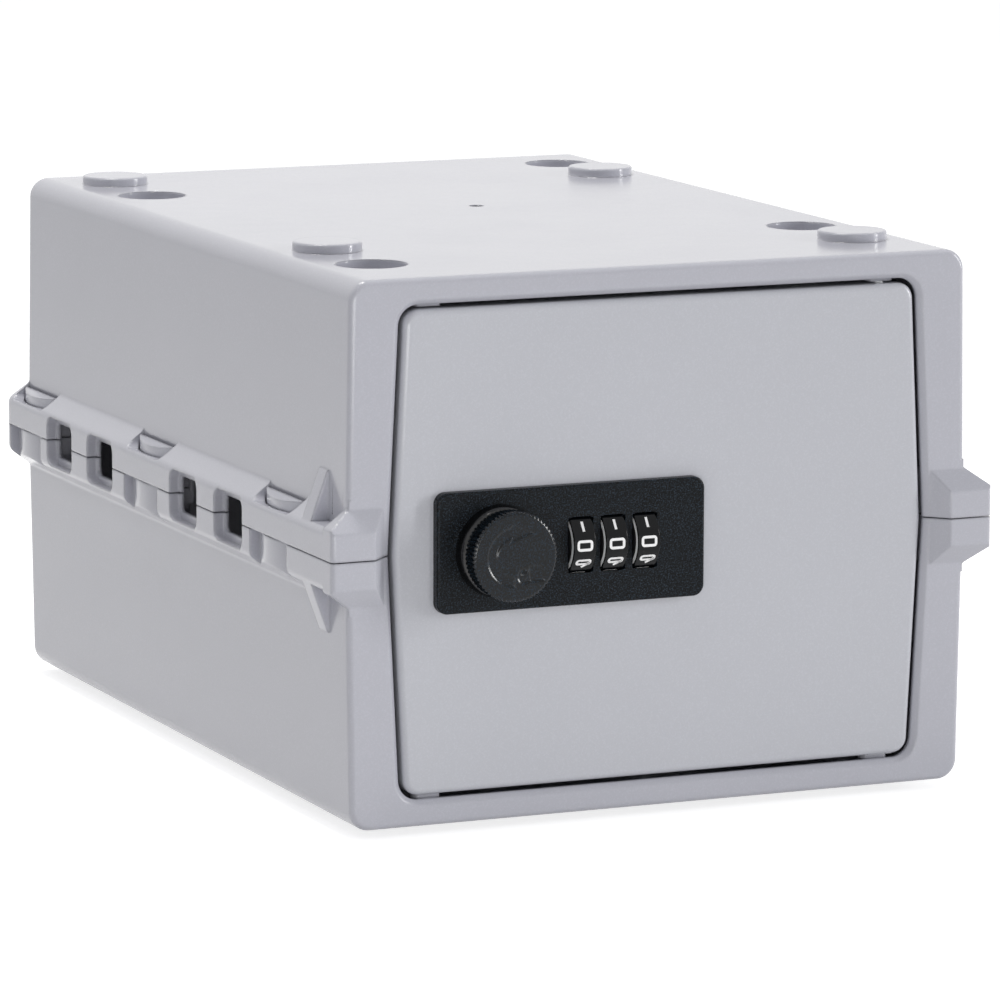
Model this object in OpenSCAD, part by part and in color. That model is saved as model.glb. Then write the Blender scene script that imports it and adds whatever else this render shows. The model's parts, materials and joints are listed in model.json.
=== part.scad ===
/* [Body] */
// Width across the side walls where the two shells meet
body_w = 211; // [195:1:240]
// Depth from the front frame to the rear wall
body_d = 298; // [290:1:340]
// Height over the flat top and the flat underside
body_h = 170; // [170:15:200]
// Thickness of the moulded walls
wall = 3; // [2.4:0.1:3.4]
// Lean of the side walls towards the top and the underside, in degrees
side_draft = 0.9; // [0.4:0.1:1.6]
// Radius along the long edges and at the corners of the outline
edge_r = 6.5; // [6.2:0.1:8]
// Rounding of the front edge
front_r = 1.8; // [1:0.1:2.4]
// Rounding of the rear edge
rear_r = 6; // [4.5:0.1:6.1]
// Gap where the two shells meet
parting_gap = 0.4; // [0.2:0.05:0.6]

/* [Stacking discs] */
// Radius of a raised disc
disc_r = 11; // [9:0.1:12]
// Height of a raised disc
disc_h = 3; // [2:0.1:4]
// Rounding of a disc's rim
disc_edge = 0.7; // [0.3:0.1:1]
// Clearance of a recess round and under a disc
disc_gap = 0.3; // [0.2:0.05:0.5]
// Distance of the discs from the middle, across the box
disc_x = 82.6; // [76:0.1:84]
// Distance of the first pair from the front
disc_y = 36; // [30:0.5:45]
// Distance between a disc and the recess beside it
disc_pair = 36.5; // [30:0.5:42]
// Distance from a front pair to the rear pair
disc_row = 194.5; // [180:0.5:198]

/* [Clip band] */
// How far the band stands out from the side walls
band_out = 7; // [6.6:0.1:8]
// Height of the band's upright face above the parting plane
band_flat = 7; // [6.5:0.1:7.5]
// Rounding of the band's shoulder
band_r = 3.5; // [2.5:0.1:4]
// Angle of the shoulder's slope, in degrees
band_slope = 52; // [48:1:56]
// Radius where the slope runs into the wall
band_blend = 3; // [2:0.1:4]
// Middle of the clip pattern behind the front frame
clip_mid = 162.3; // [158:0.1:166]
// Distance between two clips
clip_pitch = 114.4; // [112:0.1:116]
// Width of a clip pocket
pocket_w = 31.5; // [29:0.1:32]
// Height of a pocket's floor above the parting plane
pocket_floor = 8.8; // [8:0.1:9.5]
// Rounding at the foot of a pocket's ends
pocket_r = 2.6; // [1.5:0.1:3.5]
// Height of a clip tab above the parting plane
tab_h = 13; // [12:0.1:14]
// Bulge radius of a tab's outer face
tab_bulge = 36.3; // [34:0.1:42]
// Clearance round a tab
tab_gap = 0.5; // [0.3:0.05:0.6]
// Distances of the side windows from the middle of the clip pattern
window_inner = 39.4; // [38:0.1:40]
// Distance of the outer side windows
window_outer = 79.6; // [78:0.1:80]
// Width of a side window
window_w = 25; // [22:0.1:26]
// Height of a side window
window_h = 16.6; // [14:0.1:17]
// Depth of the step inside a window
window_step = 3.5; // [3:0.1:4]
// Width of the ledge above and below the inner hole
window_ledge = 2.4; // [2:0.1:3]
// Thickness of the band's wall behind the window step
ledge_t = 1.3; // [1:0.1:1.6]
// Height of the hollow inside the band above the parting plane
hollow_h = 9.2; // [8.6:0.1:9.4]

/* [Front ears] */
// How far the ears stand in front of the frame
ear_out = 5.2; // [4:0.1:6]
// Height of the ear's upright face above the parting plane
ear_flat = 8.6; // [8:0.1:10]
// Angle of the ear's sloping top, in degrees
ear_slope = 39; // [35:1:45]
// Width of the ear's front face
ear_w = 14.4; // [12:0.1:15]
// Height of the ear's side face above the parting plane
ear_side = 9.8; // [9:0.1:10.5]
// Distance of the fin behind the front frame
fin_y = 15.2; // [14:0.1:16]
// Thickness of the fin
fin_t = 7; // [6:0.1:8]
// Height of the fin above the parting plane
fin_h = 25.2; // [22:0.1:28]
// Length of the notch between the fin and the ear
notch_l = 8.5; // [6:0.1:9]
// Width of that notch
notch_w = 1.6; // [1:0.1:2]

/* [Door] */
// Width of the frame beside the opening, at half height
frame_side = 14; // [13.5:0.1:16]
// How much each side of the opening leans in towards its top and foot
frame_lean = 3.8; // [3.4:0.1:5]
// Height of the frame above and below the opening
frame_top = 8.3; // [8:0.1:10]
// Corner radius of the opening
open_r = 6.5; // [5:0.1:9]
// Width of the bevel round the opening
reveal = 1.6; // [1:0.1:2]
// Gap between the door and the frame
door_gap = 1.5; // [1.2:0.05:1.8]
// Thickness of the door panel
door_t = 3; // [2.6:0.1:3.4]
// Depth of the rim round the door
door_rim = 11; // [9:0.1:11.2]
// Thickness of that rim
rim_t = 2.2; // [1.8:0.1:2.6]
// Rounding of the door's front edge
door_r = 2; // [1.2:0.1:2.2]
// Distance of the hinge line from the opening's upper corner
hinge_in = 10.7; // [10.2:0.1:11.5]
// Distance of the hinge line behind the front
hinge_y = 6.8; // [6.4:0.1:7.2]
// Radius of a hinge pin
pin_r = 2; // [1.6:0.1:2.4]
// Length of a hinge pin
pin_len = 17; // [15:0.5:18]
// Radius of a hinge boss on the frame
boss_r = 4.5; // [4:0.1:4.8]
// Running clearance of pins and shafts
run_gap = 0.06; // [0.03:0.01:0.09]

/* [Lock plate] */
// Height of the lock plate
plate_h = 37.6; // [36:0.1:42]
// Thickness of the lock plate
plate_t = 3.3; // [3:0.1:3.6]
// Corner radius of the lock plate
plate_r = 3.6; // [2.5:0.1:5]
// Distance of the plate's middle from the middle of the door
plate_x = -32; // [-33:0.1:-31]
// Distance of the knob's axis from the plate's left end
knob_in = 20.5; // [19.5:0.1:23]
// Distance from the knob's axis to the middle wheel
knob_dial = 38.05; // [37.5:0.05:41]
// Width of the plate beside the lock's housing
plate_land = 5.5; // [5.2:0.1:6.5]

/* [Dials] */
// Radius of a number wheel
dial_r = 10; // [9.6:0.1:10.2]
// Width of a number wheel
dial_w = 7.4; // [7:0.1:7.5]
// Distance between two wheels
dial_pitch = 10.85; // [10.75:0.05:11.2]
// How far a wheel stands in front of the plate
dial_show = 4; // [3.4:0.1:4.4]
// Radius of the pale core in a wheel
core_r = 9.1; // [8.7:0.1:9.2]
// Thickness of the gated disc beside a wheel
gate_t = 0.6; // [0.5:0.05:0.7]
// Thickness of the locking bar's fingers
finger_t = 0.5; // [0.4:0.05:0.6]
// Radius of the wheels' axle
axle_r = 1.5; // [1.2:0.1:1.8]
// Room for the bar's spring at the end of the housing
spring_room = 6; // [5:0.1:8]

/* [Knob] */
// Radius of the knob
knob_r = 14; // [13:0.1:14.4]
// Height of the knob's face above the plate
knob_h = 12.7; // [12:0.1:14]
// Depth of the knurled grip
grip_h = 7.5; // [6.5:0.1:8]
// Number of ridges round the grip
grip_n = 60; // [40:2:64]
// Length of the latch from the knob's axis to its end
latch_len = 41.5; // [40:0.1:42.5]
// Width of the latch
latch_w = 13; // [11:0.5:14]
// Thickness of the latch
latch_t = 2.2; // [1.8:0.1:2.4]
// Gap kept between parts that move past each other
clear = 0.3; // [0.25:0.05:0.35]

/* [Hidden] */
$fn = 64;
far = 400;

rear_in = 1.2;
yf = tidy((plate_t + knob_h - band_out + rear_in - body_d) / 2);
yr = yf + body_d;
hw = body_w / 2;
half_h = body_h / 2;
zp = disc_h + half_h;
top_in = half_h - wall;
inner_r = edge_r - wall;
face_x = hw + band_out;
rear_foot = rear_r - 1.5;
rear_y = yr - rear_in - rear_foot;
band_top = band_flat + band_r * sin(band_slope)
    + (band_out - band_r + band_r * cos(band_slope)) / tan(band_slope);

open_w = body_w - 2 * frame_side;
open_w_end = open_w - 2 * frame_lean;
open_hh = half_h - frame_top;
hinge_x = open_w_end / 2 - hinge_in;
open_draft = tidy(atan((open_w - open_w_end) / 2 / open_hh));
door_hw = tidy(open_w / 2 - door_gap / cos(open_draft));
door_hh = open_hh - door_gap;
door_cr = open_r - door_gap;
hinge_line = yf + hinge_y;
boss_end = door_hh + 0.45;
pin_low = top_in - pin_len - 0.5;

plate_y = yf - plate_t;
case_hh = 15.2;
case_t = 1.6;
axle_over = 2.6;
bar_over = 1.2;
plate_w = knob_in + knob_dial + dial_pitch + dial_w / 2 + axle_over + bar_over + spring_room
    + case_t + plate_land;
knob_x = plate_x - plate_w / 2 + knob_in;
dial_x = knob_x + knob_dial;
case_x0 = plate_x - plate_w / 2 + plate_land;
case_x1 = plate_x + plate_w / 2 - plate_land;
dial_y = plate_y - dial_show + dial_r;
case_back = dial_y + dial_r + 4.6;
gate_x = -dial_w / 2 - clear - finger_t - clear - gate_t;
bar_travel = gate_t + finger_t + 2 * clear;
arm_t = 1.6;
arm_x = dial_x - dial_pitch + gate_x - clear - arm_t;
bay_x = arm_x - bar_travel - 0.4 - case_t;
bay_back = yf + door_rim;
latch_y = yf + door_rim + 1.3;
shaft_r = 4;
lobe_y = dial_y + axle_r + 0.6;
lobe_t = 3;
lobe_r = 7;
lobe_rate = bar_travel / 90;
screw_r = 1.25;
screw_x = [plate_x - plate_w / 2 + 2.7, plate_x + plate_w / 2 - 2.7];
strike_x = open_w / 2 + 2;
strike_y = latch_y - 0.7;
gate_r = 4.4;
hub_r = 2.7;
axle_end = dial_x + dial_pitch + dial_w / 2 + axle_over;
bar_y = dial_y + dial_r + 0.5;
bar_t = 1.8;
bar_end = axle_end + bar_over;
tip_x = knob_x + lobe_r + 0.42;
reset_x = case_x1 - 5;
reset_z = 9;
collar_h = knob_h - grip_h - 0.4;
tab_in = hw + 1.1;
tab_out = face_x - 2.3;
catch_z = 3.5;
lip_in = 20;
knuckle_l = 16.1;
ear_top = ear_flat + ear_out / tan(ear_slope);
root = 0.15;
disc_rows = [disc_y, disc_y + disc_row];

function tidy(x) = round(x * 1000) / 1000;
function unit(v) = v / norm(v);
function turn_of(a, b, c) = (b[0] - a[0]) * (c[1] - b[1]) - (b[1] - a[1]) * (c[0] - b[0]);
function half_angle(a, b, c) = acos(unit(a - b) * unit(c - b)) / 2;
function arc_mid(a, b, c, r) = b + unit(unit(a - b) + unit(c - b)) * r / sin(half_angle(a, b, c));
function arc_end(b, c, r, h) = b + unit(c - b) * r / tan(h);

// An outline drawn anticlockwise whose corners take true arcs; hollow corners are filled
module soft_poly(pts, rr) {
    n = len(pts);
    difference() {
        union() {
            polygon([for (i = [0:n - 1])
                let (a = pts[(i + n - 1) % n], b = pts[i], c = pts[(i + 1) % n])
                    each rr[i] == 0 ? [b] : let (h = half_angle(a, b, c))
                        [arc_end(b, a, rr[i], h), arc_end(b, c, rr[i], h)]]);
            corner_arcs(pts, rr, 1);
        }
        corner_arcs(pts, rr, -1);
    }
}

module corner_arcs(pts, rr, side) {
    n = len(pts);
    for (i = [0:n - 1]) {
        a = pts[(i + n - 1) % n];
        b = pts[i];
        c = pts[(i + 1) % n];
        if (rr[i] > 0 && turn_of(a, b, c) * side > 0)
            translate(arc_mid(a, b, c, rr[i])) circle(rr[i]);
    }
}

module soft_rect(x0, y0, x1, y1, r) {
    soft_poly([[x0, y0], [x1, y0], [x1, y1], [x0, y1]], [r, r, r, r]);
}

// Section of a rim: reaches out to a, runs from y0 to y1, rounded by f0 in front and f1 behind
module rim_section(a, y0, y1, f0, f1) {
    soft_poly([[-far, y0], [a, y0], [a, y1], [-far, y1]], [0, f0, f1, 0]);
}

// Carries a section round the upper half of an outline with leaning sides
module half_sweep(w, h, r, lean) {
    xc = tidy(w - h * tan(lean) + r * tan(lean) - r / cos(lean));
    zc = tidy(h - r);
    rotate([0, -90, 0]) linear_extrude(2 * xc, center = true) translate([zc, 0])
        intersection() {
            children();
            translate([-zc, -far]) square([far, 2 * far]);
        }
    for (s = [0, 1]) mirror([s, 0, 0]) translate([xc, 0, zc]) {
        rotate([-90, 0, 0]) rotate([0, 0, -90]) rotate_extrude(angle = 90 - lean)
            intersection() {
                children();
                translate([0, -far]) square([far, 2 * far]);
            }
        intersection() {
            rotate([0, -lean, 0]) translate([0, 0, -zc - 12]) linear_extrude(zc + 12)
                intersection() {
                    children();
                    translate([-zc * tan(lean) - 2, -far]) square([far, 2 * far]);
                }
            translate([-far, -far, -zc]) cube([2 * far, 2 * far, zc + 12]);
        }
    }
}

// Both halves of such an outline
module full_sweep(w, h, r, lean) {
    for (s = [0, 1]) mirror([0, 0, s]) half_sweep(w, h, r, lean) children();
}

// Keeps what lies above the shell's own side of the parting plane
module above_parting() {
    intersection() {
        children();
        translate([-far, -far, parting_gap / 2]) cube([2 * far, 2 * far, far]);
    }
}

// Cross section of the band, measured out from the wall
module band_section(top) {
    intersection() {
        soft_poly([[-1.5, 0], [band_out, 0],
            [band_out, band_flat + band_r * tan(band_slope / 2)],
            [-root - band_top * tan(side_draft), band_top + root],
            [-root - (band_top + 4) * tan(side_draft), band_top + 4], [-1.5, band_top + 4]],
            [0, 0, band_r, band_blend, 0, 0]);
        translate([-1.5, 0]) square([20, top]);
    }
}

// A stretch of band along one side wall
module band_run(y0, y1, top) {
    end = min(y1, rear_y);
    if (end > y0 + 0.2)
        translate([hw, end, 0]) rotate([90, 0, 0]) linear_extrude(end - y0) band_section(top);
}

// Band round the rear corner and along half of the rear wall
module band_rear() {
    translate([hw - rear_foot, rear_y, 0]) rotate_extrude(angle = 90)
        translate([rear_foot, 0]) band_section(far);
    translate([0, rear_y + rear_foot, 0]) rotate([90, 0, 90])
        linear_extrude(hw - rear_foot) band_section(far);
}

// Proud corner block between the band and the frame, on the right
module ear() {
    intersection() {
        linear_extrude(ear_top + 3) soft_poly([
            [open_w / 2 + 0.9, yf + 2], [open_w / 2 + 0.9, yf + 0.9],
            [face_x - ear_w, yf - ear_out], [face_x, yf - ear_out], [face_x, yf + 2]],
            [0, 0, 0.8, 1.5, 0]);
        translate([hw, yf + 4, 0]) rotate([90, 0, 0]) linear_extrude(4 + ear_out)
            soft_poly([[-ear_w - 6, 0], [band_out, 0], [band_out, ear_side],
                [-0.6, ear_top + 0.5], [-0.6, 40], [-ear_w - 6, 40]], [0, 0, 0.8, 0, 0, 0]);
        rotate([90, 0, 90]) linear_extrude(far) soft_poly([
            [yf + 3, 0], [yf + 3, far], [yf - 0.01, far],
            [yf - 0.01, ear_flat + ear_out / tan(ear_slope)],
            [yf - ear_out, ear_flat], [yf - ear_out, 0]],
            [0, 0, 0, 0, 0.8, 0]);
    }
}

// Gusset that props the band against the wall, on the right
module fin() {
    translate([0, yf + fin_y + fin_t, 0]) rotate([90, 0, 0]) linear_extrude(fin_t)
        polygon([[hw - 1.5, 6], [face_x - 1, 6], [face_x - 1, band_flat + 2],
            [hw + 0.2, fin_h], [hw - 1.5, fin_h]]);
}

// Narrow notch at the wall between the fin and the ear, on the right
module notch() {
    translate([hw - 0.35, yf + fin_y - 2.8 - notch_l, band_top - 2.2]) cube([notch_w, notch_l, 20]);
}

// Space of a clip pocket over its floor, on the right
module pocket(y) {
    translate([hw - 2, y, 0]) rotate([90, 0, 90]) linear_extrude(band_out + 12)
        soft_poly([[-pocket_w / 2, pocket_floor], [pocket_w / 2, pocket_floor],
            [pocket_w / 2, 40], [-pocket_w / 2, 40]], [pocket_r, pocket_r, 0, 0]);
}

// Hollow inside a hood of the band, open to the room of the box, on the right
module hollow(y) {
    half = (clip_pitch - pocket_w) / 2 - wall;
    translate([hw - wall - 6, y - half, -5])
        cube([6 + wall + band_out - window_step - ledge_t, 2 * half, hollow_h + 5]);
}

// Flat outline of a tab, outermost at x = out, with a flat inner side at x = inner
module tab_outline(out, inner, half) {
    intersection() {
        translate([out - tab_bulge, 0]) circle(tab_bulge);
        translate([inner, -half]) square([20, 2 * half]);
    }
}

// Sprung tab below the parting plane, on the right
module tab(y) {
    translate([0, y, 0]) {
        difference() {
            translate([0, 0, -tab_h]) linear_extrude(tab_h + 6)
                tab_outline(tab_out, tab_in, pocket_w / 2 - 0.3);
            translate([tab_in, 0, -tab_h]) rotate([0, -18, 0])
                translate([-10, -far, -10]) cube([30, 2 * far, 10]);
        }
        translate([0, pocket_w / 2 - 4, 0]) rotate([90, 0, 0]) linear_extrude(pocket_w - 8)
            polygon([[tab_in - 0.75, -catch_z - 2.8], [tab_in + 1, -catch_z - 2.8],
                [tab_in + 1, -catch_z - 6.3], [tab_in - 0.1, -catch_z - 6.3]]);
    }
}

// Hollow in the band's face that follows the tab below it, on the right
module tab_scoop(y) {
    translate([0, y, 0]) difference() {
        translate([hw + 0.5, -pocket_w / 2, -1]) cube([20, pocket_w, far]);
        translate([face_x - 0.3 - tab_bulge, 0, -2]) cylinder(r = tab_bulge, h = far + 4);
    }
}

// Slot in a pocket's floor, on the right
module tab_slot(y) {
    translate([0, y, -1]) difference() {
        linear_extrude(far) intersection() {
            translate([tab_out - tab_bulge, 0]) circle(tab_bulge + tab_gap);
            translate([hw, -pocket_w / 2]) square([20, pocket_w]);
        }
        translate([hw - 1, pocket_w / 2 - 4, 1]) rotate([90, 0, 0])
            linear_extrude(pocket_w - 8)
            polygon([[0, 0], [1, catch_z - 1], [1.8, catch_z + 0.4], [1.8, catch_z + 2.5],
                [0, catch_z + 2.5]]);
    }
}

// Window through the band and the side wall, on the right
module side_window(y) {
    translate([face_x - window_step, y, 0]) rotate([90, 0, 90]) linear_extrude(20)
        soft_rect(-window_w / 2, -window_h / 2, window_w / 2, window_h / 2, 3.6);
    translate([hw - wall - 6, y, 0]) rotate([90, 0, 90]) linear_extrude(20)
        soft_rect(-window_w / 2 + 1, -window_h / 2 + window_ledge,
            window_w / 2 - 1, window_h / 2 - window_ledge, 2.2);
}

// Lip inside the wall that laps over the joint, on the right and half of the rear
module lap_lip() {
    x1 = hw - wall / cos(side_draft) - 0.35;
    y1 = yr - wall - 0.35;
    z0 = -3.5;
    y0 = yf + frame_side + fin_y;
    translate([x1 - 1.5, y0, z0]) cube([1.5, yr - lip_in - y0, 8.5]);
    translate([x1 - 1.5, y0, 1]) cube([3, yr - lip_in - y0, 4]);
    translate([lip_in / 2, y1 - 1.5, z0]) cube([hw - 1.5 * lip_in, 1.5, 8.5]);
    translate([lip_in / 2, y1 - 1.5, 1]) cube([hw - 1.5 * lip_in, 3, 4]);
}

// Frame side of a hinge: a boss that hangs from the top wall into the door gap
module hinge_boss() {
    translate([hinge_x, hinge_line, boss_end]) cylinder(r = boss_r, h = half_h - 1 - boss_end);
}

// Raised disc with a rounded rim
module disc() {
    rotate_extrude() soft_poly([[0, -1], [disc_r, -1], [disc_r, disc_h], [0, disc_h]],
        [0, 0, disc_edge, 0]);
}

// One moulding; the other shell is the same one turned half round
module half_shell() {
    difference() {
        union() {
            difference() {
                above_parting() union() {
                    difference() {
                        half_sweep(hw, half_h, edge_r, side_draft)
                            rim_section(edge_r, yf, yr, front_r, rear_r);
                        half_sweep(hw - wall / cos(side_draft), top_in, inner_r, side_draft)
                            rim_section(inner_r, yf + wall, yr - wall, 0, inner_r - 0.5);
                    }
                    for (s = [0, 1]) mirror([s, 0, 0]) {
                        band_run(yf + 1.8, yf + fin_y + 1, pocket_floor + 1);
                        ear();
                        fin();
                        band_rear();
                        translate([strike_x, yf + wall - 0.5, 0])
                            cube([hw - 4 - strike_x, strike_y - yf - wall + 0.5, 15]);
                        hinge_boss();
                    }
                    // clipped side, with pockets between the hoods
                    mirror([1, 0, 0]) difference() {
                        band_run(yf + fin_y, rear_y, far);
                        for (i = [-1:1]) pocket(yf + clip_mid + i * clip_pitch);
                    }
                    // tab side
                    band_run(yf + fin_y, rear_y, far);
                    // pads that carry the recesses, and the discs
                    for (y = disc_rows) {
                        translate([-disc_x, yf + y, half_h - disc_h - disc_gap - wall + 0.4])
                            cylinder(r = disc_r + disc_gap + 2.6, h = disc_h + disc_gap + 0.6);
                        translate([disc_x, yf + y + disc_pair,
                            half_h - disc_h - disc_gap - wall + 0.4])
                            cylinder(r = disc_r + disc_gap + 2.6, h = disc_h + disc_gap + 0.6);
                        translate([disc_x, yf + y, half_h]) disc();
                        translate([-disc_x, yf + y + disc_pair, half_h]) disc();
                    }
                }
                for (i = [-1:1]) {
                    mirror([1, 0, 0]) tab_slot(yf + clip_mid + i * clip_pitch);
                    tab_scoop(yf + clip_mid + i * clip_pitch);
                }
            }
            for (i = [-1:1]) tab(yf + clip_mid + i * clip_pitch);
            lap_lip();
        }
        // opening with its bevel
        translate([0, yf + wall + 1, 0]) rotate([90, 0, 0]) linear_extrude(wall + 2)
            soft_poly([[-open_w / 2, 0], [open_w / 2, 0], [open_w_end / 2, open_hh],
                [-open_w_end / 2, open_hh]], [0, 0, open_r, open_r]);
        half_sweep(open_w / 2, open_hh, open_r, open_draft)
            polygon([[-far, yf - 1], [open_r + reveal + 1, yf - 1],
                [open_r - 0.1, yf + reveal + 0.1], [-far, yf + reveal + 0.1]]);
        for (s = [0, 1]) mirror([s, 0, 0]) {
            for (d = [-window_outer, -window_inner, window_inner, window_outer])
                side_window(yf + clip_mid + d);
            for (d = [-0.5, 0.5]) hollow(yf + clip_mid + d * clip_pitch);
            notch();
            translate([hinge_x, hinge_line, pin_low])
                cylinder(r = pin_r + run_gap / 2, h = pin_len + 0.6);
        }
        for (y = disc_rows) {
            translate([-disc_x, yf + y, half_h - disc_h - disc_gap])
                cylinder(r = disc_r + disc_gap, h = far);
            translate([disc_x, yf + y + disc_pair, half_h - disc_h - disc_gap])
                cylinder(r = disc_r + disc_gap, h = far);
            translate([disc_x, yf + y, half_h - wall - 1])
                cylinder(r = disc_r - 2.8, h = disc_h + 1);
            translate([-disc_x, yf + y + disc_pair, half_h - wall - 1])
                cylinder(r = disc_r - 2.8, h = disc_h + 1);
        }
        // gate mark left by the moulding
        translate([6.7, yf + clip_mid, half_h - 0.6]) cylinder(r = 2.4, h = 2);
    }
}

module upper_shell() {
    color([0.78, 0.79, 0.80]) translate([0, 0, zp]) half_shell();
}

module lower_shell() {
    color([0.78, 0.79, 0.80]) translate([0, 0, zp]) rotate([0, 180, 0]) half_shell();
}

module hinge_pin() {
    translate([hinge_x, hinge_line, pin_low + 0.2]) cylinder(r = pin_r, h = pin_len);
}

module hinge_pin_upper() {
    color([0.7, 0.7, 0.72]) translate([0, 0, zp]) hinge_pin();
}

module hinge_pin_lower() {
    color([0.7, 0.7, 0.72]) translate([0, 0, zp]) mirror([0, 0, 1]) hinge_pin();
}

// Door: a panel with a rim, ribs, hinge sockets and the cut-out for the lock
module door() {
    color([0.80, 0.81, 0.82]) translate([0, 0, zp]) difference() {
        union() {
            difference() {
                full_sweep(door_hw, door_hh, door_cr, open_draft)
                    rim_section(door_cr, yf, yf + door_rim, door_r, 0);
                full_sweep(door_hw - rim_t / cos(open_draft), door_hh - rim_t,
                    door_cr - rim_t + 0.5, open_draft)
                    rim_section(door_cr - rim_t + 0.5, yf + door_t, yf + far / 2, 0, 0);
            }
            intersection() {
                union() {
                    for (z = [-1, 1]) {
                        translate([-door_hw, yf + door_t - 0.5, z * door_hh * 0.62 - 0.8])
                            cube([2 * door_hw, 5.5, 1.6]);
                        translate([hinge_x, hinge_line, z * (door_hh - 8)])
                            cylinder(r = 4.2, h = knuckle_l, center = true);
                        translate([hinge_x - 4.2, yf + 1, z * (door_hh - 8) - knuckle_l / 2])
                            cube([8.4, hinge_y - 1, knuckle_l]);
                    }
                    for (x = [-0.1, 0.36])
                        translate([2 * door_hw * x, yf + door_t - 0.5, -door_hh])
                            cube([1.6, 5.5, 2 * door_hh]);
                }
                full_sweep(door_hw, door_hh, door_cr, open_draft)
                    rim_section(door_cr, yf + 1, yf + door_rim, 0, 0);
            }
        }
        translate([0, yf - 1, 0]) rotate([-90, 0, 0]) linear_extrude(far)
            soft_rect(case_x0 - 0.4, -case_hh - 0.4, case_x1 + 0.4, case_hh + 0.4, 1.5);
        translate([case_x0 - 7, yf + door_t, -case_hh - 2])
            cube([case_x1 - case_x0 + 14, 20, 2 * case_hh + 4]);
        for (x = screw_x)
            translate([x, yf - 1, 0]) rotate([-90, 0, 0]) cylinder(r = screw_r + 0.2, h = 8);
        for (z = [0, 1]) mirror([0, 0, z])
            translate([hinge_x, hinge_line, pin_low - 0.3])
                cylinder(r = pin_r + run_gap, h = far);
    }
}

// Front plate of the lock
module lock_plate() {
    color([0.12, 0.12, 0.13]) translate([plate_x, 0, zp]) difference() {
        full_sweep(plate_w / 2, plate_h / 2, plate_r, 0)
            rim_section(plate_r, plate_y, yf, 0.8, 0);
        for (i = [-1:1])
            translate([dial_x - plate_x + i * dial_pitch, plate_y - 1, 0]) rotate([-90, 0, 0])
                linear_extrude(10)
                soft_rect(-dial_w / 2 - 0.35, -8.8, dial_w / 2 + 0.7, 8.8, 1.6);
        for (i = [-1:1])
            translate([dial_x - plate_x + i * dial_pitch, dial_y, 0]) rotate([0, 90, 0]) {
                translate([0, 0, -dial_w / 2 - 0.35]) cylinder(r = dial_r + 0.4, h = dial_w + 1.05);
                translate([0, 0, gate_x - clear]) cylinder(r = gate_r + 0.35, h = -gate_x);
            }
        translate([knob_x - plate_x, plate_y - 1, 0]) rotate([-90, 0, 0])
            cylinder(r = shaft_r + run_gap, h = 10);
        for (x = screw_x)
            translate([x - plate_x, yf - 2.3, 0]) rotate([-90, 0, 0])
                cylinder(r = screw_r + 0.05, h = 5);
    }
}

// Housing behind the plate, open to the front
module lock_housing() {
    color([0.14, 0.14, 0.15]) translate([0, 0, zp]) difference() {
        union() {
            translate([0, yf, 0]) rotate([-90, 0, 0]) linear_extrude(bay_back - yf)
                soft_rect(case_x0, -case_hh, case_x1, case_hh, 1.2);
            translate([bay_x, yf, 0]) rotate([-90, 0, 0]) linear_extrude(case_back - yf)
                soft_rect(0, -case_hh, case_x1 - bay_x, case_hh, 1.2);
            translate([case_x0 - 5.2, yf + door_t, -6])
                cube([case_x1 - case_x0 + 10.4, 1.8, 12]);
        }
        translate([case_x0 + case_t, yf - 1, -case_hh + case_t])
            cube([bay_x - case_x0 - case_t, bay_back - yf + 1 - case_t, 2 * (case_hh - case_t)]);
        translate([bay_x + case_t, yf - 1, -case_hh + case_t])
            cube([case_x1 - bay_x - 2 * case_t, case_back - yf + 1 - case_t,
                2 * (case_hh - case_t)]);
        // passage of the locking bar
        translate([bay_x - 1, lobe_y - 0.6, -3.6]) cube([4, lobe_t + 1.2, 7.2]);
        translate([knob_x, yf, 0]) rotate([-90, 0, 0])
            cylinder(r = shaft_r + run_gap, h = far);
        for (x = screw_x)
            translate([x, yf - 1, 0]) rotate([-90, 0, 0]) cylinder(r = screw_r + 0.2, h = 12);
        translate([bay_x - 0.1, dial_y, 0]) rotate([0, 90, 0]) cylinder(r = axle_r + run_gap, h = 2);
        translate([reset_x, case_back - 5, reset_z]) rotate([-90, 0, 0])
            cylinder(r = 1.5 + run_gap, h = 10);
    }
    // wall that carries the far end of the axle
    color([0.14, 0.14, 0.15]) translate([0, 0, zp]) difference() {
        translate([axle_end - 1.4, yf + 0.3, -5]) cube([1.4, case_back - case_t - yf - 0.2, 10]);
        translate([axle_end - 3, dial_y, 0]) rotate([0, 90, 0])
            cylinder(r = axle_r + run_gap, h = 6);
        translate([axle_end - 3, bar_y - 0.4, -4.4]) cube([6, 2.6, 8.8]);
    }
}

module lock_screw(x) {
    color([0.55, 0.55, 0.57]) translate([x, yf - 2.2, zp]) rotate([-90, 0, 0]) difference() {
        union() {
            cylinder(r = screw_r, h = 2.2 + door_t + 1.8 + 0.3);
            translate([0, 0, 2.2 + door_t + 1.8]) cylinder(r = 2.3, h = 1.6);
        }
        translate([0, 0, 2.2 + door_t + 1.8 + 1.1]) {
            cube([3, 0.6, 2], center = true);
            cube([0.6, 3, 2], center = true);
        }
    }
}

module lock_screw_left() {
    lock_screw(screw_x[0]);
}

module lock_screw_right() {
    lock_screw(screw_x[1]);
}

// Smooth collar between the plate and the grip
module knob_collar() {
    color([0.1, 0.1, 0.11]) translate([knob_x, plate_y, zp]) rotate([90, 0, 0])
        rotate_extrude()
        soft_poly([[9.3, 0], [knob_r + 0.5, 0], [knob_r + 0.2, 1.4],
            [knob_r - 0.7, collar_h], [9.3, collar_h]], [0, 0, 1, 0.6, 0]);
}

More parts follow.
